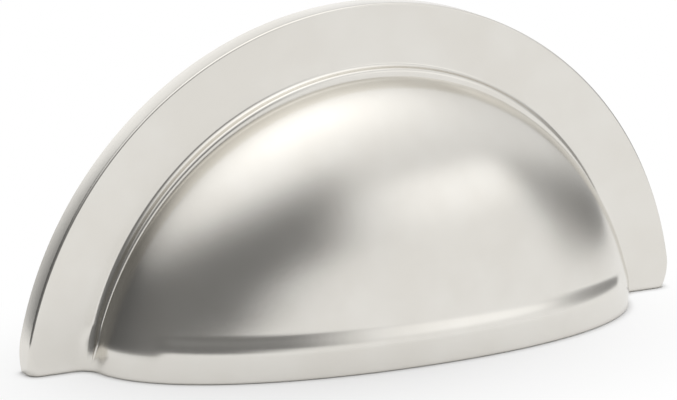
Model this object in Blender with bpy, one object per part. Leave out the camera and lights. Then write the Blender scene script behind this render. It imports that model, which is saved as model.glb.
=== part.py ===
"""Cup pull: one casting with a half-round flange, a hollow finger cup and two tapped bosses.

The pull stands on its open lower edge. X runs along the pull, -Y is the front, +Y is the wall side.
The origin is the middle of the bounding box at the lower edge.
"""

from math import asin, cos, hypot, pi, radians, sin, sqrt, tan

import bmesh
import bpy
from mathutils import Vector

MM = 0.001

# Flange
FLANGE_RADIUS = 52.4 * MM
ARC_DROP = 5.4 * MM
FLANGE_THICKNESS = 3.35 * MM
FLANGE_BAND = 8.95 * MM
EDGE_RADIUS = 0.35 * MM
CORNER_HEIGHT = 5.0 * MM
CORNER_TUCK = 0.8 * MM
CORNER_ROUNDING = 1.2 * MM

# Border between the flange and the cup
BORDER_RISE = 1.3 * MM
BORDER_INSET = 1.1 * MM
BORDER_POWER = 2.6
BORDER_FILLET = 0.7 * MM

# Cup
CUP_DEPTH = 18.0 * MM
CUP_POWER = 2.15
CUP_WALL = 2.6 * MM
CORE_DRAFT = 0.3 * MM

# Rim along the lower edge
RIM_HEIGHT = 3.6 * MM
RIM_LEDGE = 0.5 * MM
LEDGE_POWER = 3.0
RIM_FILLET = 3.0 * MM
COVE_HEIGHT = 3.0 * MM
COVE_END = 36.5 * MM
COVE_CLOSING = 2.0 * MM
FADE_START = 0.5 * MM
FADE_HEIGHT = 6.0 * MM
FOOT_ROUNDING = 0.3 * MM

# Bosses for two machine screws
SCREW_SPACING = 64.0 * MM
SCREW_HEIGHT = 15.0 * MM
BOSS_RADIUS = 4.25 * MM
BOSS_DRAFT = 0.25 * MM
HOLE_RADIUS = 1.65 * MM
HOLE_WALL = 1.5 * MM
HOLE_CHAMFER = 0.5 * MM
DRILL_TIP_ANGLE = 118.0

# Mesh steps
ARC_STEPS = 56
CUP_STEPS = 16
BORDER_STEPS = 4
FILLET_STEPS = 2
BAND_STEPS = 4
EDGE_STEPS = 3
FOOT_STEPS = 2
RIM_STEPS = 2
COVE_STEPS = 6
CORE_STEPS = 96
CORE_PROFILE_STEPS = 14
HOLE_STEPS = 32

# Finish
NICKEL_COLOR = (0.70, 0.68, 0.64, 1.0)
NICKEL_ROUGHNESS = 0.28

# Sizes that follow from those above
SEAM_RADIUS = FLANGE_RADIUS - FLANGE_BAND
SEAM_HALF = sqrt(SEAM_RADIUS ** 2 - ARC_DROP ** 2)
CUP_TOP = SEAM_RADIUS - ARC_DROP - BORDER_INSET
CUP_RADIUS = (SEAM_HALF ** 2 + CUP_TOP ** 2) / (2.0 * CUP_TOP)
CUP_DROP = CUP_RADIUS - CUP_TOP
CUP_START_RADIUS = CUP_RADIUS * (1.0 - (BORDER_RISE / CUP_DEPTH) ** CUP_POWER) ** (1.0 / CUP_POWER)
RIM_DROP = CUP_DROP + RIM_HEIGHT
RIM_HALF = sqrt(CUP_RADIUS ** 2 - RIM_DROP ** 2)
RIM_TOP = RIM_HEIGHT + COVE_HEIGHT
RIM_DEPTH = RIM_LEDGE + CUP_DEPTH * (1.0 - (RIM_DROP / CUP_RADIUS) ** CUP_POWER) ** (1.0 / CUP_POWER)
BACK_Y = (FLANGE_THICKNESS + RIM_DEPTH) / 2.0
FACE_Y = BACK_Y - FLANGE_THICKNESS
PANEL_HALF = SEAM_HALF / 2.0
CUTTER_MARGIN = 1.0 * MM


def mix(a, b, share):
    """Point or number that lies `share` of the way from a to b."""
    if isinstance(a, tuple):
        return tuple(mix(p, q, share) for p, q in zip(a, b))
    return a + (b - a) * share


def arc_point(radius, drop, height, fraction):
    """Point of an arc centred on x = 0, a fraction of the way from its right end to its left end.

    The centre lies `drop` below the lower edge, and both ends lie at `height` above it.
    """
    start = asin((height + drop) / radius)
    angle = mix(start, pi - start, fraction)
    return radius * cos(angle), radius * sin(angle) - drop


def cup_rise(x, z):
    """Height of the domed cup in front of the flange's face."""
    reach = hypot(x, z + CUP_DROP) / CUP_RADIUS
    return CUP_DEPTH * max(0.0, 1.0 - reach ** CUP_POWER) ** (1.0 / CUP_POWER)


def rim_curve(x):
    """Height and slope of the rim's plan curve before its fillet.

    The curve follows the cup's, in front of it by a ledge that thins out towards the ends.
    """
    height = cup_rise(x, RIM_HEIGHT)
    reach = (hypot(x, RIM_DROP) / CUP_RADIUS) ** CUP_POWER
    slope = height * reach * x / ((1.0 - reach) * (x ** 2 + RIM_DROP ** 2))
    thinning = (x / RIM_HALF) ** LEDGE_POWER
    return height + RIM_LEDGE * (1.0 - thinning), slope + RIM_LEDGE * LEDGE_POWER * thinning / max(x, MM)


def rim_fillet_span():
    """Where the fillet leaves the rim's plan curve and where it meets the flange."""
    low, high = RIM_HALF / 2.0, RIM_HALF
    for _ in range(50):
        x = (low + high) / 2.0
        height, slope = rim_curve(x)
        if height > RIM_FILLET * (1.0 - 1.0 / hypot(1.0, slope)):
            low = x
        else:
            high = x
    return low, low + RIM_FILLET * slope / hypot(1.0, slope)


FILLET_START, FILLET_END = rim_fillet_span()


def rim_rise(x):
    """Height of the rim's plan curve in front of the flange's face, with its fillet onto the flange."""
    x = abs(x)
    if x >= FILLET_END:
        return 0.0
    if x > FILLET_START:
        return RIM_FILLET - sqrt(RIM_FILLET ** 2 - (FILLET_END - x) ** 2)
    return rim_curve(x)[0]


def falling(value, start, length):
    """Smooth fall from 1 at a start value to 0 beyond a length."""
    return 0.5 + 0.5 * cos(pi * min(1.0, max(0.0, (value - start) / length)))


def rim_share(x, z):
    """Share of the rim in the front surface, with a cove above it that ends short of the flange."""
    cove = falling(z, RIM_HEIGHT, COVE_HEIGHT)
    flush = falling(z, FADE_START, FADE_HEIGHT)
    return mix(flush, cove, falling(abs(x), COVE_END - COVE_CLOSING / 2.0, COVE_CLOSING))


def foot_inset(z):
    """How far the rounding of the lower edge sets the front surface back."""
    below = FOOT_ROUNDING - min(FOOT_ROUNDING, max(0.0, z))
    return FOOT_ROUNDING - sqrt(FOOT_ROUNDING ** 2 - below ** 2)


def front_point(x, z, rise):
    """Point of the front surface, where the border, cup or flange rises by `rise` above the rim."""
    return x, FACE_Y - mix(rise, rim_rise(x), rim_share(x, z)) + foot_inset(z), z


def corner_share(z):
    """Share of the softened lower corner of the flange: all at the lower edge, none above it."""
    return max(0.0, 1.0 - z / CORNER_HEIGHT) ** 2


def profile(height, fraction):
    """Outer section of the casting from the middle panel over the cup and the flange to its back edge."""
    inner = (PANEL_HALF * cos(pi * fraction), height)
    start = arc_point(CUP_START_RADIUS, CUP_DROP, height, fraction)
    seam = arc_point(SEAM_RADIUS, ARC_DROP, height, fraction)
    edge_radius = EDGE_RADIUS + CORNER_ROUNDING * corner_share(height)
    outer_radius = FLANGE_RADIUS - CORNER_TUCK * corner_share(height)
    fillet_end = arc_point(SEAM_RADIUS + BORDER_FILLET, ARC_DROP, height, fraction)
    face_end = arc_point(outer_radius - edge_radius, ARC_DROP, height, fraction)

    points = []
    for step in range(CUP_STEPS):
        x, z = mix(inner, start, sin(pi / 2.0 * step / CUP_STEPS))
        points.append(front_point(x, z, cup_rise(x, z)))
    for step in range(BORDER_STEPS, 0, -1):
        angle = pi / 2.0 * step / BORDER_STEPS
        x, z = mix(seam, start, 1.0 - cos(angle) ** (2.0 / BORDER_POWER))
        rise = mix(BORDER_FILLET, BORDER_RISE, sin(angle) ** (2.0 / BORDER_POWER))
        points.append(front_point(x, z, rise))
    for step in range(FILLET_STEPS):
        angle = pi / 2.0 * step / FILLET_STEPS
        x, z = mix(seam, fillet_end, 1.0 - cos(angle))
        points.append(front_point(x, z, BORDER_FILLET * (1.0 - sin(angle))))
    for step in range(BAND_STEPS):
        x, z = mix(fillet_end, face_end, step / BAND_STEPS)
        points.append(front_point(x, z, 0.0))
    for step in range(EDGE_STEPS + 1):
        angle = pi / 2.0 * step / EDGE_STEPS
        radius = outer_radius - edge_radius * (1.0 - sin(angle))
        x, z = arc_point(radius, ARC_DROP, height, fraction)
        points.append((x, FACE_Y + edge_radius * (1.0 - cos(angle)) + foot_inset(z), z))
    x, z = arc_point(outer_radius, ARC_DROP, height, fraction)
    points.append((x, BACK_Y, z))
    return points


def bridge(bm, first, second):
    """Quads between two rows of vertices."""
    for k in range(len(first) - 1):
        bm.faces.new((first[k], first[k + 1], second[k + 1], second[k]))


def outer_solid():
    """The casting without its hollow: sections lofted from end to end, and the middle panel of the rim."""
    heights = [FOOT_ROUNDING * (1.0 - cos(pi / 2.0 * k / FOOT_STEPS)) for k in range(FOOT_STEPS)]
    heights += [mix(FOOT_ROUNDING, RIM_HEIGHT, k / RIM_STEPS) for k in range(RIM_STEPS)]
    heights += [RIM_HEIGHT + COVE_HEIGHT * k / COVE_STEPS for k in range(COVE_STEPS + 1)]
    right = [(height, 0.0) for height in heights[:-1]]
    over = [(RIM_TOP, k / ARC_STEPS) for k in range(ARC_STEPS + 1)]
    left = [(height, 1.0) for height in reversed(heights[:-1])]

    bm = bmesh.new()
    sections = [[bm.verts.new(point) for point in profile(*place)] for place in right + over + left]
    for k in range(len(sections) - 1):
        bridge(bm, sections[k], sections[k + 1])

    rows = []
    for index, height in enumerate(heights[:-1]):
        row = [sections[index][0]]
        for _, fraction in over[1:-1]:
            x = PANEL_HALF * cos(pi * fraction)
            row.append(bm.verts.new(front_point(x, height, cup_rise(x, height))))
        row.append(sections[-1 - index][0])
        rows.append(row)
    rows.append([section[0] for section in sections[len(right):len(right) + len(over)]])
    for k in range(len(rows) - 1):
        bridge(bm, rows[k], rows[k + 1])

    bm.faces.new(list(reversed(sections[0])) + rows[0][1:-1] + sections[-1])
    bm.faces.new([section[-1] for section in sections])
    return finish_mesh(bm, "cup_pull")


def revolved(name, outline, centre, steps):
    """Solid turned about an axis along Y, from (radius, y) points that begin and end on the axis."""
    bm = bmesh.new()
    verts = [bm.verts.new((centre[0] + radius, y, centre[1])) for radius, y in outline]
    edges = [bm.edges.new(pair) for pair in zip(verts, verts[1:])]
    axis_point = Vector((centre[0], 0.0, centre[1]))
    bmesh.ops.spin(bm, geom=verts + edges, cent=axis_point, axis=(0, 1, 0), angle=2.0 * pi, steps=steps)
    bmesh.ops.remove_doubles(bm, verts=bm.verts, dist=0.001 * MM)
    return finish_mesh(bm, name)


def finish_mesh(bm, name):
    """Turn a closed bmesh into an object with its faces pointing out."""
    bmesh.ops.triangulate(bm, faces=[face for face in bm.faces if len(face.verts) == 4])
    bmesh.ops.recalc_face_normals(bm, faces=bm.faces)
    mesh = bpy.data.meshes.new(name)
    bm.to_mesh(mesh)
    bm.free()
    obj = bpy.data.objects.new(name, mesh)
    bpy.context.scene.collection.objects.link(obj)
    return obj


def core():
    """The hollow of the cup, open at the back and below, with a little draft through the flange."""
    radius = CUP_RADIUS - CUP_WALL
    depth = CUP_DEPTH - CUP_WALL
    outline = [(0.0, BACK_Y + CUTTER_MARGIN), (radius + CORE_DRAFT, BACK_Y + CUTTER_MARGIN)]
    outline.append((radius + CORE_DRAFT, BACK_Y))
    for k in range(CORE_PROFILE_STEPS + 1):
        angle = pi / 2.0 * k / CORE_PROFILE_STEPS
        reach = abs(cos(angle)) ** (2.0 / CUP_POWER)
        outline.append((radius * reach, FACE_Y - depth * sin(angle) ** (2.0 / CUP_POWER)))
    outline[-1] = (0.0, FACE_Y - depth)
    return revolved("core", outline, (0.0, -CUP_DROP), CORE_STEPS)


def boss(side):
    """One screw boss, which narrows a little from the cup's wall to the back."""
    front = FACE_Y - CUP_DEPTH
    outline = [
        (0.0, front),
        (BOSS_RADIUS + BOSS_DRAFT, front),
        (BOSS_RADIUS, BACK_Y),
        (BOSS_RADIUS, BACK_Y + 2.0 * CUTTER_MARGIN),
        (0.0, BACK_Y + 2.0 * CUTTER_MARGIN),
    ]
    return revolved("boss", outline, (side * SCREW_SPACING / 2.0, SCREW_HEIGHT), HOLE_STEPS)


def drilled_hole(side):
    """One blind tapping hole with a chamfered mouth and a drill point, clear of the cup's face."""
    rise = cup_rise(SCREW_SPACING / 2.0 + HOLE_RADIUS, SCREW_HEIGHT + HOLE_RADIUS)
    depth = FLANGE_THICKNESS + rise - HOLE_WALL
    tip = HOLE_RADIUS / tan(radians(DRILL_TIP_ANGLE / 2.0))
    mouth_radius = HOLE_RADIUS + HOLE_CHAMFER
    outline = [
        (0.0, BACK_Y - depth - tip),
        (HOLE_RADIUS, BACK_Y - depth),
        (HOLE_RADIUS, BACK_Y - HOLE_CHAMFER),
        (mouth_radius, BACK_Y),
        (mouth_radius, BACK_Y + CUTTER_MARGIN),
        (0.0, BACK_Y + CUTTER_MARGIN),
    ]
    return revolved("hole", outline, (side * SCREW_SPACING / 2.0, SCREW_HEIGHT), HOLE_STEPS)


def subtract(body, cutters):
    """Cut every cutter out of the body, apply the cuts and remove the cutters."""
    for cutter in cutters:
        modifier = body.modifiers.new("cut", "BOOLEAN")
        modifier.operation = "DIFFERENCE"
        modifier.object = cutter
    depsgraph = bpy.context.evaluated_depsgraph_get()
    mesh = bpy.data.meshes.new_from_object(body.evaluated_get(depsgraph))
    body.modifiers.clear()
    body.data = mesh
    for cutter in cutters:
        bpy.data.objects.remove(cutter)


def satin_nickel():
    """Warm light-grey plated metal with a satin surface."""
    material = bpy.data.materials.new("satin_nickel")
    material.use_nodes = True
    shader = material.node_tree.nodes["Principled BSDF"]
    shader.inputs["Base Color"].default_value = NICKEL_COLOR
    shader.inputs["Metallic"].default_value = 1.0
    shader.inputs["Roughness"].default_value = NICKEL_ROUGHNESS
    return material


def build():
    """Model the casting."""
    for obj in list(bpy.data.objects):
        bpy.data.objects.remove(obj)
    sides = (-1, 1)
    hollow = core()
    subtract(hollow, [boss(side) for side in sides])
    pull = outer_solid()
    subtract(pull, [hollow] + [drilled_hole(side) for side in sides])
    pull.data.name = "cup_pull"
    pull.data.materials.clear()
    pull.data.materials.append(satin_nickel())
    pull.data.shade_smooth()
    pull.data.set_sharp_from_angle(angle=radians(32.0))


build()
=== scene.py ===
"""Looks of the cup pull: a fine satin nickel casting with threaded bosses, in a light tent."""

from math import asin, cos, hypot, pi, radians, sin, sqrt, tan

import bmesh
import bpy
from mathutils import Matrix, Vector


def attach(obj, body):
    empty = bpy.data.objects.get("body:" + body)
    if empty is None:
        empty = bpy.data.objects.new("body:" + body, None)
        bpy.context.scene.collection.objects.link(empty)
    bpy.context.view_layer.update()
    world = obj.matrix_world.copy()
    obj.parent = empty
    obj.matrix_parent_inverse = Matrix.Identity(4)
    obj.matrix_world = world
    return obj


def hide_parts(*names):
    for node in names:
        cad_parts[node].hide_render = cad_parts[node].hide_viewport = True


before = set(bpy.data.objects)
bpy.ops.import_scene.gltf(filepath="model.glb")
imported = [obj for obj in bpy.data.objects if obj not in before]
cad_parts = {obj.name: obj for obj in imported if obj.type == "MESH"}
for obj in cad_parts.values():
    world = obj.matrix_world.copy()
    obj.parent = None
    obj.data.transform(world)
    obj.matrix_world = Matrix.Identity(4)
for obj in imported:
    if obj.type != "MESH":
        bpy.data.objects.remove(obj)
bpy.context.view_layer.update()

MM = 0.001

# Flange
FLANGE_RADIUS = 52.4 * MM
ARC_DROP = 5.4 * MM
FLANGE_THICKNESS = 3.35 * MM
FLANGE_BAND = 8.95 * MM
EDGE_RADIUS = 0.35 * MM
CORNER_HEIGHT = 5.0 * MM
CORNER_TUCK = 0.8 * MM
CORNER_ROUNDING = 1.2 * MM

# Border between the flange and the cup
BORDER_RISE = 1.3 * MM
BORDER_INSET = 1.1 * MM
BORDER_POWER = 2.6
BORDER_FILLET = 0.7 * MM

# Cup
CUP_DEPTH = 18.0 * MM
CUP_POWER = 2.15
CUP_WALL = 2.6 * MM
CORE_DRAFT = 0.3 * MM

# Rim along the lower edge
RIM_HEIGHT = 3.6 * MM
RIM_LEDGE = 0.5 * MM
LEDGE_POWER = 3.0
RIM_FILLET = 3.0 * MM
COVE_HEIGHT = 3.0 * MM
COVE_END = 36.5 * MM
COVE_CLOSING = 2.0 * MM
FADE_START = 0.5 * MM
FADE_HEIGHT = 6.0 * MM
FOOT_ROUNDING = 0.3 * MM

# Bosses for two machine screws
SCREW_SPACING = 64.0 * MM
SCREW_HEIGHT = 15.0 * MM
BOSS_RADIUS = 4.25 * MM
BOSS_DRAFT = 0.25 * MM
HOLE_RADIUS = 1.65 * MM
HOLE_WALL = 1.5 * MM
HOLE_CHAMFER = 0.5 * MM
DRILL_TIP_ANGLE = 118.0
THREAD_PITCH = 0.7 * MM
THREAD_DEPTH = 0.28 * MM
THREAD_RUNOUT = 1.2 * MM
BOSS_EDGE = 0.2 * MM

# Mesh steps
ARC_STEPS = 260
CUP_STEPS = 56
BORDER_STEPS = 14
FILLET_STEPS = 8
BAND_STEPS = 10
EDGE_STEPS = 8
FOOT_STEPS = 5
RIM_STEPS = 5
COVE_STEPS = 22
CORE_STEPS = 288
CORE_PROFILE_STEPS = 48
HOLE_STEPS = 64
RINGS_PER_TURN = 8
SHARP_ANGLE = 32.0
WELD_DISTANCE = 0.001 * MM
CUTTER_MARGIN = 1.0 * MM

# Sizes that follow from those above
SEAM_RADIUS = FLANGE_RADIUS - FLANGE_BAND
SEAM_HALF = sqrt(SEAM_RADIUS ** 2 - ARC_DROP ** 2)
CUP_TOP = SEAM_RADIUS - ARC_DROP - BORDER_INSET
CUP_RADIUS = (SEAM_HALF ** 2 + CUP_TOP ** 2) / (2.0 * CUP_TOP)
CUP_DROP = CUP_RADIUS - CUP_TOP
CUP_START_RADIUS = CUP_RADIUS * (1.0 - (BORDER_RISE / CUP_DEPTH) ** CUP_POWER) ** (1.0 / CUP_POWER)
RIM_DROP = CUP_DROP + RIM_HEIGHT
RIM_HALF = sqrt(CUP_RADIUS ** 2 - RIM_DROP ** 2)
RIM_TOP = RIM_HEIGHT + COVE_HEIGHT
RIM_DEPTH = RIM_LEDGE + CUP_DEPTH * (1.0 - (RIM_DROP / CUP_RADIUS) ** CUP_POWER) ** (1.0 / CUP_POWER)
BACK_Y = (FLANGE_THICKNESS + RIM_DEPTH) / 2.0
FACE_Y = BACK_Y - FLANGE_THICKNESS
PANEL_HALF = SEAM_HALF / 2.0

# Satin nickel plate: two colours that mix in blotches, and texture scales in features to the metre
PLATE_DARK = (0.732, 0.708, 0.660, 1.0)
PLATE_LIGHT = (0.764, 0.744, 0.700, 1.0)
BLOTCH_SCALE = 90.0
BLOTCH_FADE = (0.3, 0.7)
BROAD_SCALE = 260.0
GRAIN_SCALE = 1400.0
ROUGHNESS = 0.18
ROUGHNESS_SPREAD = 0.03
BROAD_IN_GRAIN = 0.6
BUMP_STRENGTH = 0.02
BUMP_DISTANCE = 0.2 * MM

# Tent round the table. Directions are in degrees, and azimuth runs clockwise from the wall side
TENT_RADIUS = 3.0
WALL_LEVEL = 0.775
WALL_GAIN = 0.12
WALL_GAIN_TOP = 50.0

# Dark slanted oval at the right
STAND_LEVEL = 0.275
STAND_AZIMUTH = 81.4
STAND_ELEVATION = 2.6
STAND_SLANT = 20.0
STAND_HALF_LENGTH = 45.4
STAND_HALF_WIDTH = 9.1
STAND_FADE = (1.87, 0.13)

# Round lamp overhead
LAMP_LEVEL = 1.59
LAMP_AZIMUTH = 173.4
LAMP_ELEVATION = 83.9
LAMP_FADE = (56.0, -2.4)

# Panels: brightness, azimuth of both edges and how soft they are. Their top and foot fade by elevation and
# their cone by the angle from the wall side, each from gone to full
BACK = {"level": 0.635, "edges": (315.0, 394.5), "soft": (12.0, 5.0), "top": (80.0, 60.0)}
OPENING = {"level": 0.20, "edges": (167.4, 318.2), "soft": (9.0, 12.0), "top": (49.1, 22.6)}
GAP = {"level": 0.17, "edges": (295.6, 325.5), "soft": (3.2, 16.0), "top": (59.7, 31.6)}
ROOM = {"level": 0.095, "edges": (259.2, 342.6), "soft": (38.8, 8.1), "top": (28.0, 27.4)}
REAR_CARD = {"level": 1.22, "edges": (331.0, 410.0), "soft": (10.0, 10.0), "cone": (39.0, 30.0)}
FOLD = {"level": 1.01, "edges": (118.0, 182.4), "soft": (6.0, 13.6), "top": (13.5, 7.3)}
FRONT_CARD = {
    "level": 1.26,
    "edges": (119.9, 157.7),
    "soft": (6.3, 13.5),
    "top": (29.9, 23.7),
    "foot": (8.0, 16.8),
}

# Table, whose white glow begins a few centimetres from a place near the pull's middle; nearer in the glow is
# held back, a painted shadow round the pull
TABLE_COLOUR = (0.86, 0.86, 0.86, 1.0)
TABLE_LEFT = -90.0 * MM
TABLE_REACH = 2.0
TABLE_GAP = 0.02 * MM
# Painted shadow: centre, squash and fade of the oval round the pull where the table's glow is held back and
# the table shows darker
PAINTED_SHADOW_CENTRE_X = -10.0 * MM
PAINTED_SHADOW_SQUASH = 0.6
PAINTED_SHADOW_FADE = (-12.0 * MM, 45.0 * MM)
# Painted contact shadow: ambient occlusion reach and fade that take the glow away where the pull stands, a
# thin dark line
PAINTED_CONTACT_SHADOW_DISTANCE = 1.5 * MM
PAINTED_CONTACT_SHADOW_FADE = (0.4, 1.0)
WORLD_LEVEL = 0.8

# Camera: picture width and focal length in pixels of the photograph, and angles in degrees
PICTURE_WIDTH = 677.0
FOCAL_LENGTH = 2909.3
SENSOR_WIDTH = 36.0
CAMERA_PLACE = (-194.01 * MM, BACK_Y - 347.15 * MM, 121.07 * MM)
CAMERA_YAW = 28.804
CAMERA_PITCH = 14.498
CAMERA_ROLL = 1.034
CAMERA_CLIP = (0.01, 50.0)


def mix(a, b, share):
    """Point or number that lies `share` of the way from a to b."""
    if isinstance(a, tuple):
        return tuple(mix(p, q, share) for p, q in zip(a, b))
    return a + (b - a) * share


def arc_point(radius, drop, height, fraction):
    """Point of an arc centred on x = 0, a fraction of the way from its right end to its left end."""
    start = asin((height + drop) / radius)
    angle = mix(start, pi - start, fraction)
    return radius * cos(angle), radius * sin(angle) - drop


def cup_rise(x, z):
    """Height of the domed cup in front of the flange's face."""
    reach = hypot(x, z + CUP_DROP) / CUP_RADIUS
    return CUP_DEPTH * max(0.0, 1.0 - reach ** CUP_POWER) ** (1.0 / CUP_POWER)


def rim_curve(x):
    """Height and slope of the rim's plan curve before its fillet.

    The curve follows the cup's, in front of it by a ledge that thins out towards the ends.
    """
    height = cup_rise(x, RIM_HEIGHT)
    reach = (hypot(x, RIM_DROP) / CUP_RADIUS) ** CUP_POWER
    slope = height * reach * x / ((1.0 - reach) * (x ** 2 + RIM_DROP ** 2))
    thinning = (x / RIM_HALF) ** LEDGE_POWER
    return height + RIM_LEDGE * (1.0 - thinning), slope + RIM_LEDGE * LEDGE_POWER * thinning / max(x, MM)


def rim_fillet_span():
    """Where the fillet leaves the rim's plan curve and where it meets the flange."""
    low, high = RIM_HALF / 2.0, RIM_HALF
    for _ in range(50):
        x = (low + high) / 2.0
        height, slope = rim_curve(x)
        if height > RIM_FILLET * (1.0 - 1.0 / hypot(1.0, slope)):
            low = x
        else:
            high = x
    return low, low + RIM_FILLET * slope / hypot(1.0, slope)


FILLET_START, FILLET_END = rim_fillet_span()


def rim_rise(x):
    """Height of the rim's plan curve in front of the flange's face, with its fillet onto the flange."""
    x = abs(x)
    if x >= FILLET_END:
        return 0.0
    if x > FILLET_START:
        return RIM_FILLET - sqrt(RIM_FILLET ** 2 - (FILLET_END - x) ** 2)
    return rim_curve(x)[0]


def falling(value, start, length):
    """Smooth fall from 1 at a start value to 0 beyond a length."""
    return 0.5 + 0.5 * cos(pi * min(1.0, max(0.0, (value - start) / length)))


def rim_share(x, z):
    """Share of the rim in the front surface, with a cove above it that ends short of the flange."""
    cove = falling(z, RIM_HEIGHT, COVE_HEIGHT)
    flush = falling(z, FADE_START, FADE_HEIGHT)
    return mix(flush, cove, falling(abs(x), COVE_END - COVE_CLOSING / 2.0, COVE_CLOSING))


def foot_inset(z):
    """How far the rounding of the lower edge sets the front surface back."""
    below = FOOT_ROUNDING - min(FOOT_ROUNDING, max(0.0, z))
    return FOOT_ROUNDING - sqrt(FOOT_ROUNDING ** 2 - below ** 2)


def front_point(x, z, rise):
    """Point of the front surface, where the border, cup or flange rises by `rise` above the rim."""
    return x, FACE_Y - mix(rise, rim_rise(x), rim_share(x, z)) + foot_inset(z), z


def corner_share(z):
    """Share of the softened lower corner of the flange: all at the lower edge, none above it."""
    return max(0.0, 1.0 - z / CORNER_HEIGHT) ** 2


def profile(height, fraction):
    """Outer section of the casting from the middle panel over the cup and the flange to its back edge."""
    inner = (PANEL_HALF * cos(pi * fraction), height)
    start = arc_point(CUP_START_RADIUS, CUP_DROP, height, fraction)
    seam = arc_point(SEAM_RADIUS, ARC_DROP, height, fraction)
    edge_radius = EDGE_RADIUS + CORNER_ROUNDING * corner_share(height)
    outer_radius = FLANGE_RADIUS - CORNER_TUCK * corner_share(height)
    fillet_end = arc_point(SEAM_RADIUS + BORDER_FILLET, ARC_DROP, height, fraction)
    face_end = arc_point(outer_radius - edge_radius, ARC_DROP, height, fraction)

    points = []
    for step in range(CUP_STEPS):
        x, z = mix(inner, start, sin(pi / 2.0 * step / CUP_STEPS))
        points.append(front_point(x, z, cup_rise(x, z)))
    for step in range(BORDER_STEPS, 0, -1):
        angle = pi / 2.0 * step / BORDER_STEPS
        x, z = mix(seam, start, 1.0 - cos(angle) ** (2.0 / BORDER_POWER))
        rise = mix(BORDER_FILLET, BORDER_RISE, sin(angle) ** (2.0 / BORDER_POWER))
        points.append(front_point(x, z, rise))
    for step in range(FILLET_STEPS):
        angle = pi / 2.0 * step / FILLET_STEPS
        x, z = mix(seam, fillet_end, 1.0 - cos(angle))
        points.append(front_point(x, z, BORDER_FILLET * (1.0 - sin(angle))))
    for step in range(BAND_STEPS):
        x, z = mix(fillet_end, face_end, step / BAND_STEPS)
        points.append(front_point(x, z, 0.0))
    for step in range(EDGE_STEPS + 1):
        angle = pi / 2.0 * step / EDGE_STEPS
        radius = outer_radius - edge_radius * (1.0 - sin(angle))
        x, z = arc_point(radius, ARC_DROP, height, fraction)
        points.append((x, FACE_Y + edge_radius * (1.0 - cos(angle)) + foot_inset(z), z))
    x, z = arc_point(outer_radius, ARC_DROP, height, fraction)
    points.append((x, BACK_Y, z))
    return points


def bridge(bm, first, second):
    """Quads between two rows of vertices."""
    for k in range(len(first) - 1):
        bm.faces.new((first[k], first[k + 1], second[k + 1], second[k]))


def finish_mesh(bm, name):
    """Turn a closed bmesh into an object with its faces pointing out."""
    bmesh.ops.recalc_face_normals(bm, faces=bm.faces)
    mesh = bpy.data.meshes.new(name)
    bm.to_mesh(mesh)
    bm.free()
    obj = bpy.data.objects.new(name, mesh)
    bpy.context.scene.collection.objects.link(obj)
    return obj


def outer_solid():
    """The casting without its hollow: sections lofted from end to end, and the middle panel of the rim."""
    heights = [FOOT_ROUNDING * (1.0 - cos(pi / 2.0 * k / FOOT_STEPS)) for k in range(FOOT_STEPS)]
    heights += [mix(FOOT_ROUNDING, RIM_HEIGHT, k / RIM_STEPS) for k in range(RIM_STEPS)]
    heights += [RIM_HEIGHT + COVE_HEIGHT * k / COVE_STEPS for k in range(COVE_STEPS + 1)]
    right = [(height, 0.0) for height in heights[:-1]]
    over = [(RIM_TOP, k / ARC_STEPS) for k in range(ARC_STEPS + 1)]
    left = [(height, 1.0) for height in reversed(heights[:-1])]

    bm = bmesh.new()
    sections = [[bm.verts.new(point) for point in profile(*place)] for place in right + over + left]
    for k in range(len(sections) - 1):
        bridge(bm, sections[k], sections[k + 1])

    rows = []
    for index, height in enumerate(heights[:-1]):
        row = [sections[index][0]]
        for _, fraction in over[1:-1]:
            x = PANEL_HALF * cos(pi * fraction)
            row.append(bm.verts.new(front_point(x, height, cup_rise(x, height))))
        row.append(sections[-1 - index][0])
        rows.append(row)
    rows.append([section[0] for section in sections[len(right):len(right) + len(over)]])
    for k in range(len(rows) - 1):
        bridge(bm, rows[k], rows[k + 1])

    bm.faces.new(list(reversed(sections[0])) + rows[0][1:-1] + sections[-1])
    bm.faces.new([section[-1] for section in sections])
    return finish_mesh(bm, "cup_pull_fine")


def revolved(name, outline, centre, steps):
    """Solid turned about an axis along Y, from (radius, y) points that begin and end on the axis."""
    bm = bmesh.new()
    verts = [bm.verts.new((centre[0] + radius, y, centre[1])) for radius, y in outline]
    edges = [bm.edges.new(pair) for pair in zip(verts, verts[1:])]
    axis_point = Vector((centre[0], 0.0, centre[1]))
    bmesh.ops.spin(bm, geom=verts + edges, cent=axis_point, axis=(0, 1, 0), angle=2.0 * pi, steps=steps)
    bmesh.ops.remove_doubles(bm, verts=bm.verts, dist=WELD_DISTANCE)
    return finish_mesh(bm, name)


def core():
    """The hollow of the cup, open at the back and below, with a little draft through the flange."""
    radius = CUP_RADIUS - CUP_WALL
    depth = CUP_DEPTH - CUP_WALL
    outline = [(0.0, BACK_Y + CUTTER_MARGIN), (radius + CORE_DRAFT, BACK_Y + CUTTER_MARGIN)]
    outline.append((radius + CORE_DRAFT, BACK_Y))
    for k in range(CORE_PROFILE_STEPS + 1):
        angle = pi / 2.0 * k / CORE_PROFILE_STEPS
        reach = abs(cos(angle)) ** (2.0 / CUP_POWER)
        outline.append((radius * reach, FACE_Y - depth * sin(angle) ** (2.0 / CUP_POWER)))
    outline[-1] = (0.0, FACE_Y - depth)
    return revolved("core", outline, (0.0, -CUP_DROP), CORE_STEPS)


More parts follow.
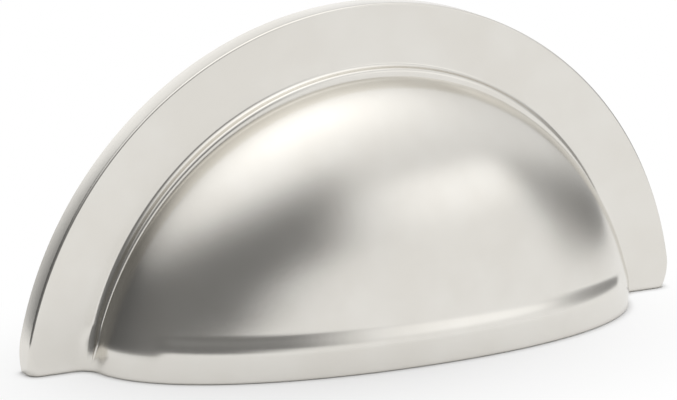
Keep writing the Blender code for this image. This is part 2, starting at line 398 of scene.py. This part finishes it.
def boss(side):
    """One screw boss, which narrows a little from the cup's wall to the back."""
    front = FACE_Y - CUP_DEPTH
    outline = [
        (0.0, front),
        (BOSS_RADIUS + BOSS_DRAFT, front),
        (BOSS_RADIUS, BACK_Y - BOSS_EDGE),
        (BOSS_RADIUS - BOSS_EDGE, BACK_Y),
        (BOSS_RADIUS - BOSS_EDGE, BACK_Y + 2.0 * CUTTER_MARGIN),
        (0.0, BACK_Y + 2.0 * CUTTER_MARGIN),
    ]
    return revolved("boss", outline, (side * SCREW_SPACING / 2.0, SCREW_HEIGHT), HOLE_STEPS)


def threaded_hole(side):
    """One blind hole with a chamfered mouth, a helical thread and a drill point."""
    rise = cup_rise(SCREW_SPACING / 2.0 + HOLE_RADIUS, SCREW_HEIGHT + HOLE_RADIUS)
    depth = FLANGE_THICKNESS + rise - HOLE_WALL
    tip = HOLE_RADIUS / tan(radians(DRILL_TIP_ANGLE / 2.0))
    centre = (side * SCREW_SPACING / 2.0, SCREW_HEIGHT)
    start = BACK_Y - HOLE_CHAMFER
    end = BACK_Y - depth + THREAD_RUNOUT
    rings = int((start - end) / THREAD_PITCH * RINGS_PER_TURN)

    def ring(bm, radii, y):
        verts = []
        for k, radius in enumerate(radii):
            angle = 2.0 * pi * k / HOLE_STEPS
            verts.append(bm.verts.new((centre[0] + radius * cos(angle), y, centre[1] + radius * sin(angle))))
        return verts

    bm = bmesh.new()
    mouth = HOLE_RADIUS + HOLE_CHAMFER
    loops = [ring(bm, [mouth] * HOLE_STEPS, BACK_Y + CUTTER_MARGIN), ring(bm, [mouth] * HOLE_STEPS, BACK_Y)]
    for r in range(rings + 1):
        y = mix(start, end, r / rings)
        fade = min(1.0, (rings - r) / RINGS_PER_TURN)
        radii = []
        for k in range(HOLE_STEPS):
            turn = ((start - y) / THREAD_PITCH + side * k / HOLE_STEPS) % 1.0
            radii.append(HOLE_RADIUS + THREAD_DEPTH * fade * (1.0 - abs(2.0 * turn - 1.0)))
        loops.append(ring(bm, radii, y))
    loops.append(ring(bm, [HOLE_RADIUS] * HOLE_STEPS, BACK_Y - depth))
    for first, second in zip(loops, loops[1:]):
        for k in range(HOLE_STEPS):
            n = (k + 1) % HOLE_STEPS
            bm.faces.new((first[k], first[n], second[n], second[k]))
    bm.faces.new(loops[0])
    point = bm.verts.new((centre[0], BACK_Y - depth - tip, centre[1]))
    for k in range(HOLE_STEPS):
        bm.faces.new((loops[-1][k], loops[-1][(k + 1) % HOLE_STEPS], point))
    return finish_mesh(bm, "hole")


def subtract(body, cutters):
    """Cut every cutter out of the body, apply the cuts and remove the cutters."""
    for cutter in cutters:
        modifier = body.modifiers.new("cut", "BOOLEAN")
        modifier.operation = "DIFFERENCE"
        modifier.object = cutter
    depsgraph = bpy.context.evaluated_depsgraph_get()
    mesh = bpy.data.meshes.new_from_object(body.evaluated_get(depsgraph))
    body.modifiers.clear()
    body.data = mesh
    for cutter in cutters:
        bpy.data.objects.remove(cutter)


def node(tree, kind, **values):
    """New node with its properties set."""
    made = tree.nodes.new(kind)
    for name, value in values.items():
        setattr(made, name, value)
    return made


def put(tree, target, value):
    """Set a socket to a number, or link another socket to it."""
    if isinstance(value, bpy.types.NodeSocket):
        tree.links.new(value, target)
    else:
        target.default_value = value


def math(tree, operation, *values):
    """Result of a Math node."""
    made = node(tree, "ShaderNodeMath", operation=operation)
    for socket, value in zip(made.inputs, values):
        put(tree, socket, value)
    return made.outputs[0]


def smooth_step(tree, value, gone, full):
    """Smooth step from 0 where the value is `gone` to 1 where it is `full`."""
    made = node(tree, "ShaderNodeMapRange", interpolation_type="SMOOTHSTEP")
    put(tree, made.inputs["Value"], value)
    made.inputs["From Min"].default_value = gone
    made.inputs["From Max"].default_value = full
    return made.outputs[0]


def noise(tree, vector, scale, detail=2.0, roughness=0.5):
    """Value of a noise texture."""
    made = node(tree, "ShaderNodeTexNoise")
    put(tree, made.inputs["Vector"], vector)
    made.inputs["Scale"].default_value = scale
    made.inputs["Detail"].default_value = detail
    made.inputs["Roughness"].default_value = roughness
    return made.outputs["Fac"]


def ray_is_seen(tree):
    """1 for rays of the camera and of glossy or clear surfaces, and 0 for rays that only light something."""
    path = node(tree, "ShaderNodeLightPath")
    seen = math(tree, "ADD", path.outputs["Is Camera Ray"], path.outputs["Is Glossy Ray"])
    return math(tree, "MINIMUM", math(tree, "ADD", seen, path.outputs["Is Transmission Ray"]), 1.0)


def satin_nickel():
    """Satin nickel plate: warm light grey, with fine soft grain and slightly uneven gloss."""
    material = bpy.data.materials.new("satin_nickel_plate")
    material.use_nodes = True
    tree = material.node_tree
    shader = tree.nodes["Principled BSDF"]
    place = node(tree, "ShaderNodeTexCoord").outputs["Object"]

    blotch = noise(tree, place, BLOTCH_SCALE, detail=3.0, roughness=0.55)
    tint = node(tree, "ShaderNodeMixRGB")
    put(tree, tint.inputs["Fac"], smooth_step(tree, blotch, *BLOTCH_FADE))
    tint.inputs["Color1"].default_value = PLATE_DARK
    tint.inputs["Color2"].default_value = PLATE_LIGHT
    put(tree, shader.inputs["Base Color"], tint.outputs["Color"])
    shader.inputs["Metallic"].default_value = 1.0

    fine = noise(tree, place, GRAIN_SCALE, detail=3.0, roughness=0.6)
    broad = noise(tree, place, BROAD_SCALE)
    rough = math(tree, "MULTIPLY_ADD", fine, ROUGHNESS_SPREAD, ROUGHNESS)
    rough = math(tree, "MULTIPLY_ADD", broad, ROUGHNESS_SPREAD, rough)
    put(tree, shader.inputs["Roughness"], rough)

    bump = node(tree, "ShaderNodeBump")
    bump.inputs["Strength"].default_value = BUMP_STRENGTH
    bump.inputs["Distance"].default_value = BUMP_DISTANCE
    put(tree, bump.inputs["Height"], math(tree, "MULTIPLY_ADD", broad, BROAD_IN_GRAIN, fine))
    put(tree, shader.inputs["Normal"], bump.outputs["Normal"])
    return material


class TentLight:
    """Light of the tent by direction, built up panel by panel, each one in front of those before it."""

    def __init__(self, tree):
        place = node(tree, "ShaderNodeNewGeometry").outputs["Position"]
        self.direction = node(tree, "ShaderNodeVectorMath", operation="NORMALIZE")
        put(tree, self.direction.inputs[0], place)
        axes = node(tree, "ShaderNodeSeparateXYZ")
        put(tree, axes.inputs[0], self.direction.outputs[0])
        self.tree = tree
        self.elevation = math(tree, "DEGREES", math(tree, "ARCSINE", axes.outputs["Z"]))
        self.from_wall = math(tree, "DEGREES", math(tree, "ARCCOSINE", axes.outputs["Y"]))
        self.azimuth = math(tree, "DEGREES", math(tree, "ARCTAN2", axes.outputs["X"], axes.outputs["Y"]))
        rise = smooth_step(tree, self.elevation, 0.0, WALL_GAIN_TOP)
        self.light = math(tree, "MULTIPLY_ADD", rise, WALL_GAIN, WALL_LEVEL)

    def cover(self, level, mask):
        """Put a brightness in front of the light so far, by the share that a mask gives."""
        share = math(self.tree, "SUBTRACT", 1.0, mask)
        added = math(self.tree, "MULTIPLY", mask, level)
        self.light = math(self.tree, "MULTIPLY_ADD", self.light, share, added)

    def off_azimuth(self, azimuth):
        """Angle from an azimuth, the short way round."""
        return math(self.tree, "WRAP", math(self.tree, "SUBTRACT", self.azimuth, azimuth), 180.0, -180.0)

    def panel(self, shape):
        """Add one panel with soft edges."""
        start, end = shape["edges"]
        soft_start, soft_end = shape["soft"]
        half = (end - start) / 2.0
        off = self.off_azimuth((start + end) / 2.0)
        mask = smooth_step(self.tree, off, -half - soft_start, soft_start - half)
        fades = [(off, (half + soft_end, half - soft_end))]
        ways = {"top": self.elevation, "foot": self.elevation, "cone": self.from_wall}
        fades += [(way, shape[name]) for name, way in ways.items() if name in shape]
        for value, fade in fades:
            mask = math(self.tree, "MULTIPLY", mask, smooth_step(self.tree, value, *fade))
        self.cover(shape["level"], mask)

    def stand(self):
        """Add the dark slanted oval."""
        tree, slant = self.tree, radians(STAND_SLANT)
        across = self.off_azimuth(STAND_AZIMUTH)
        over = math(tree, "SUBTRACT", self.elevation, STAND_ELEVATION)
        along = math(tree, "MULTIPLY_ADD", over, sin(slant), math(tree, "MULTIPLY", across, cos(slant)))
        beside = math(tree, "MULTIPLY_ADD", across, -sin(slant), math(tree, "MULTIPLY", over, cos(slant)))
        long_share = math(tree, "POWER", math(tree, "DIVIDE", along, STAND_HALF_LENGTH), 2.0)
        wide_share = math(tree, "POWER", math(tree, "DIVIDE", beside, STAND_HALF_WIDTH), 2.0)
        reach = math(tree, "SQRT", math(tree, "ADD", long_share, wide_share))
        self.cover(STAND_LEVEL, smooth_step(tree, reach, *STAND_FADE))

    def lamp(self):
        """Add the round lamp overhead."""
        azimuth, elevation = radians(LAMP_AZIMUTH), radians(LAMP_ELEVATION)
        facing = node(self.tree, "ShaderNodeVectorMath", operation="DOT_PRODUCT")
        put(self.tree, facing.inputs[0], self.direction.outputs[0])
        facing.inputs[1].default_value = (
            sin(azimuth) * cos(elevation),
            cos(azimuth) * cos(elevation),
            sin(elevation),
        )
        away = math(self.tree, "DEGREES", math(self.tree, "ARCCOSINE", facing.outputs["Value"]))
        self.cover(LAMP_LEVEL, smooth_step(self.tree, away, *LAMP_FADE))


def tent_material():
    """Light of a tent round the table, open at the left and in front, with a card behind and one in front."""
    material = bpy.data.materials.new("tent_light")
    material.use_nodes = True
    tree = material.node_tree
    tree.nodes.clear()
    tent_light = TentLight(tree)
    tent_light.panel(BACK)
    tent_light.stand()
    tent_light.lamp()
    for shape in (OPENING, GAP, ROOM, REAR_CARD, FOLD, FRONT_CARD):
        tent_light.panel(shape)

    glow = node(tree, "ShaderNodeEmission")
    put(tree, glow.inputs["Strength"], tent_light.light)
    end = node(tree, "ShaderNodeOutputMaterial")
    put(tree, end.inputs["Surface"], glow.outputs[0])
    return material


def tent():
    """The tent: a globe that lights the table and shows in the metal, but not to the camera."""
    bm = bmesh.new()
    bmesh.ops.create_uvsphere(bm, u_segments=48, v_segments=24, radius=TENT_RADIUS)
    obj = finish_mesh(bm, "tent")
    obj.data.materials.append(tent_material())
    obj.visible_camera = False
    obj.visible_shadow = False
    return obj


def floor_material():
    """Pale matt table that keeps the object's rendered shadow and turns to white a few centimetres away, with
    painted shadow: its white glow is held back in an oval round the pull and at the contact.
    """
    material = bpy.data.materials.new("table")
    material.use_nodes = True
    tree = material.node_tree
    tree.nodes.clear()
    axes = node(tree, "ShaderNodeSeparateXYZ")
    put(tree, axes.inputs[0], node(tree, "ShaderNodeNewGeometry").outputs["Position"])
    # Painted shadow: the glow's share grows with the distance from a fixed place near the pull, so the table
    # is darker round it
    across = math(tree, "MULTIPLY_ADD", axes.outputs["X"], PAINTED_SHADOW_SQUASH, -PAINTED_SHADOW_SQUASH * PAINTED_SHADOW_CENTRE_X)
    squares = math(tree, "MULTIPLY_ADD", across, across, math(tree, "POWER", axes.outputs["Y"], 2.0))
    reach = math(tree, "SQRT", squares)
    # Painted contact shadow: ambient occlusion takes the glow away where the pull stands, leaving a thin dark
    # line
    contact = node(tree, "ShaderNodeAmbientOcclusion")
    contact.inputs["Distance"].default_value = PAINTED_CONTACT_SHADOW_DISTANCE
    clear = smooth_step(tree, contact.outputs["AO"], *PAINTED_CONTACT_SHADOW_FADE)
    share = math(tree, "MULTIPLY", smooth_step(tree, reach, *PAINTED_SHADOW_FADE), clear)

    matt = node(tree, "ShaderNodeBsdfDiffuse")
    matt.inputs["Color"].default_value = TABLE_COLOUR
    glow = node(tree, "ShaderNodeEmission")
    both = node(tree, "ShaderNodeMixShader")
    put(tree, both.inputs["Fac"], math(tree, "MULTIPLY", ray_is_seen(tree), share))
    put(tree, both.inputs[1], matt.outputs[0])
    put(tree, both.inputs[2], glow.outputs[0])
    end = node(tree, "ShaderNodeOutputMaterial")
    put(tree, end.inputs["Surface"], both.outputs[0])
    return material


def table():
    """The table top under the pull, which ends a little to the left of it."""
    bm = bmesh.new()
    near = [(TABLE_LEFT, -TABLE_REACH), (TABLE_REACH, -TABLE_REACH)]
    far = [(TABLE_REACH, TABLE_REACH), (TABLE_LEFT, TABLE_REACH)]
    bm.faces.new([bm.verts.new((x, y, 0.0)) for x, y in near + far])
    obj = finish_mesh(bm, "table")
    obj.location.z = -TABLE_GAP
    obj.data.materials.append(floor_material())
    return obj


def white_world():
    """White behind the table for the camera and in the metal, and a plain level for the rest."""
    world = bpy.data.worlds.new("white")
    bpy.context.scene.world = world
    world.use_nodes = True
    tree = world.node_tree
    background = tree.nodes["Background"]
    background.inputs["Color"].default_value = (1.0, 1.0, 1.0, 1.0)
    strength = math(tree, "MULTIPLY_ADD", ray_is_seen(tree), 1.0 - WORLD_LEVEL, WORLD_LEVEL)
    put(tree, background.inputs["Strength"], strength)


def camera():
    """Camera at the photograph's view."""
    data = bpy.data.cameras.new("camera")
    data.sensor_width = SENSOR_WIDTH
    data.lens = FOCAL_LENGTH * SENSOR_WIDTH / PICTURE_WIDTH
    data.clip_start, data.clip_end = CAMERA_CLIP
    obj = bpy.data.objects.new("camera", data)
    bpy.context.scene.collection.objects.link(obj)
    yaw, pitch, roll = radians(CAMERA_YAW), radians(CAMERA_PITCH), radians(CAMERA_ROLL)
    forward = Vector((sin(yaw) * cos(pitch), cos(yaw) * cos(pitch), -sin(pitch)))
    level = Vector((cos(yaw), -sin(yaw), 0.0))
    upright = level.cross(forward)
    right = cos(roll) * level + sin(roll) * upright
    up = cos(roll) * upright - sin(roll) * level
    turned = Matrix((right, up, -forward)).transposed()
    obj.matrix_world = Matrix.Translation(Vector(CAMERA_PLACE)) @ turned.to_4x4()
    bpy.context.scene.camera = obj


def pull():
    """The fine casting, which stands for the CAD solid."""
    sides = (-1, 1)
    hollow = core()
    subtract(hollow, [boss(side) for side in sides])
    body = outer_solid()
    subtract(body, [hollow] + [threaded_hole(side) for side in sides])
    body.data.materials.clear()
    body.data.materials.append(satin_nickel())
    body.data.shade_smooth()
    body.data.set_sharp_from_angle(angle=radians(SHARP_ANGLE))
    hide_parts("cup_pull")
    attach(body, "root")
    return body


bpy.context.scene.view_settings.view_transform = "Standard"
camera()
white_world()
table()
tent()
pull()
